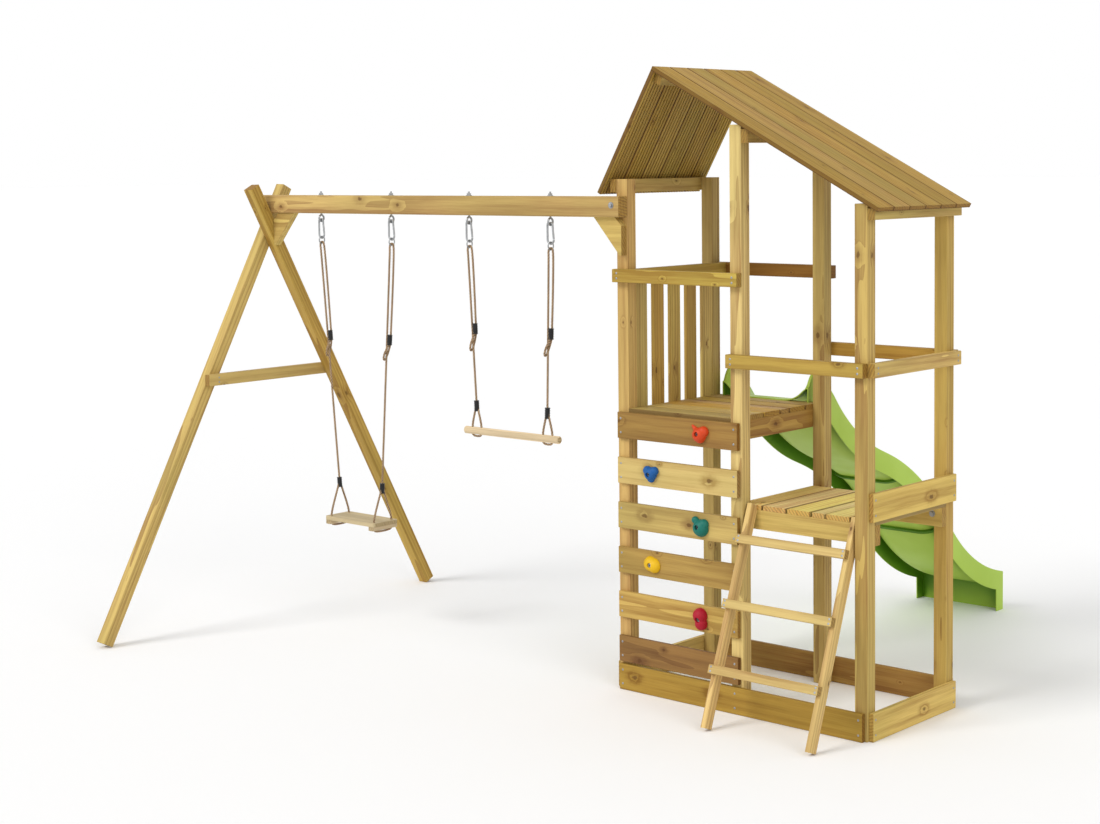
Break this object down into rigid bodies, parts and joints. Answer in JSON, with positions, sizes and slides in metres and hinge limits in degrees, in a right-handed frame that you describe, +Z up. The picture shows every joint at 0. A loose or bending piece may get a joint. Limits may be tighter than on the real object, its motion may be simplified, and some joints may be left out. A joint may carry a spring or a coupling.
{
  "type": "climbing frame with slide and swings",
  "caption": "Wooden climbing frame: roofed tower with decks, climbing wall, ladder and wave slide, and a swing beam on crossed legs with a seat and a trapeze.",
  "frame": {"origin": "middle of the whole outline, on the ground", "axes": "+Z up, +Y the way the slide runs, -X along the swing beam away from the tower"},
  "size_m": [3.6644, 3.3788, 2.657],
  "materials": {
    "treated_wood": "planed, pressure treated softwood, honey with a green tint",
    "roof_wood": "ribbed underneath, pressure treated softwood",
    "pale_wood": "planed pale pine",
    "slide_plastic": "lime green moulded plastic, half gloss",
    "hold_1": "orange, fine grained",
    "hold_2": "blue, fine grained",
    "hold_3": "teal, fine grained",
    "hold_4": "yellow, fine grained",
    "hold_5": "crimson, fine grained",
    "rope": "twisted rope, beige brown",
    "sleeve": "black ribbed plastic",
    "steel": "galvanised"
  },
  "bodies": {
    "frame": {"front_left_post": "treated_wood", "front_middle_post": "treated_wood", "front_right_post": "treated_wood", "back_left_post": "treated_wood", "back_middle_post": "treated_wood", "back_right_post": "treated_wood", "base_boards_long": "treated_wood", "base_boards_short": "treated_wood", "climbing_board_1": "treated_wood", "climbing_board_2": "treated_wood", "climbing_board_3": "treated_wood", "climbing_board_4": "treated_wood", "climbing_board_5": "treated_wood", "climbing_board_6": "treated_wood", "climbing_hold_1": "hold_1", "climbing_hold_2": "hold_2", "climbing_hold_3": "hold_3", "climbing_hold_4": "hold_4", "climbing_hold_5": "hold_5", "upper_deck_joists": "treated_wood", "upper_deck_planks": "treated_wood", "lower_deck_joists": "treated_wood", "lower_deck_planks": "treated_wood", "deck_side_board": "treated_wood", "upper_rail_front": "treated_wood", "upper_rail_left": "treated_wood", "upper_rail_back": "treated_wood", "balustrade_slats": "treated_wood", "lower_rail_front": "treated_wood", "lower_rail_right": "treated_wood", "lower_rail_back": "treated_wood", "roof_boards_left": "roof_wood", "roof_boards_right": "roof_wood", "roof_purlins": "treated_wood", "ladder_stringers": "treated_wood", "ladder_rungs": "treated_wood", "slide_bed": "slide_plastic", "slide_side_left": "slide_plastic", "slide_side_right": "slide_plastic", "swing_beam": "treated_wood", "swing_leg_front": "treated_wood", "swing_leg_back": "treated_wood", "swing_leg_brace": "treated_wood", "beam_brackets": "treated_wood", "eye_bolts": "steel"},
    "swing_seat": {"seat_board": "pale_wood", "seat_battens": "pale_wood", "seat_ropes": "rope", "seat_sleeves": "sleeve", "seat_carabiners": "steel", "seat_rings": "steel"},
    "trapeze": {"trapeze_bar": "pale_wood", "trapeze_ropes": "rope", "trapeze_sleeves": "sleeve", "trapeze_carabiners": "steel", "trapeze_rings": "steel"},
    "seat_gate_left": {"seat_gate_left": "steel"},
    "seat_gate_right": {"seat_gate_right": "steel"},
    "trapeze_gate_left": {"trapeze_gate_left": "steel"},
    "trapeze_gate_right": {"trapeze_gate_right": "steel"}
  },
  "joints": [
    {"name": "seat_swing", "type": "hinge", "parent": "frame", "child": "swing_seat", "pos_m": [-1.08124, -0.67283, 2.00097], "axis": [1, 0, 0], "range_deg": [-50, 50]},
    {"name": "trapeze_swing", "type": "hinge", "parent": "frame", "child": "trapeze", "pos_m": [-0.07624, -0.67283, 2.00097], "axis": [1, 0, 0], "range_deg": [-50, 50]},
    {"name": "seat_gate_left_hinge", "type": "hinge", "parent": "swing_seat", "child": "seat_gate_left", "pos_m": [-1.31624, -0.67283, 1.98397], "axis": [0, 1, 0], "range_deg": [0, 22], "stiffness_Nm_per_rad": 0.12, "springref_deg": -17.19},
    {"name": "seat_gate_right_hinge", "type": "hinge", "parent": "swing_seat", "child": "seat_gate_right", "pos_m": [-0.82224, -0.67283, 1.98397], "axis": [0, 1, 0], "range_deg": [0, 22], "stiffness_Nm_per_rad": 0.12, "springref_deg": -17.19},
    {"name": "trapeze_gate_left_hinge", "type": "hinge", "parent": "trapeze", "child": "trapeze_gate_left", "pos_m": [-0.31124, -0.67283, 1.98397], "axis": [0, 1, 0], "range_deg": [0, 22], "stiffness_Nm_per_rad": 0.12, "springref_deg": -17.19},
    {"name": "trapeze_gate_right_hinge", "type": "hinge", "parent": "trapeze", "child": "trapeze_gate_right", "pos_m": [0.18276, -0.67283, 1.98397], "axis": [0, 1, 0], "range_deg": [0, 22], "stiffness_Nm_per_rad": 0.12, "springref_deg": -17.19}
  ]
}
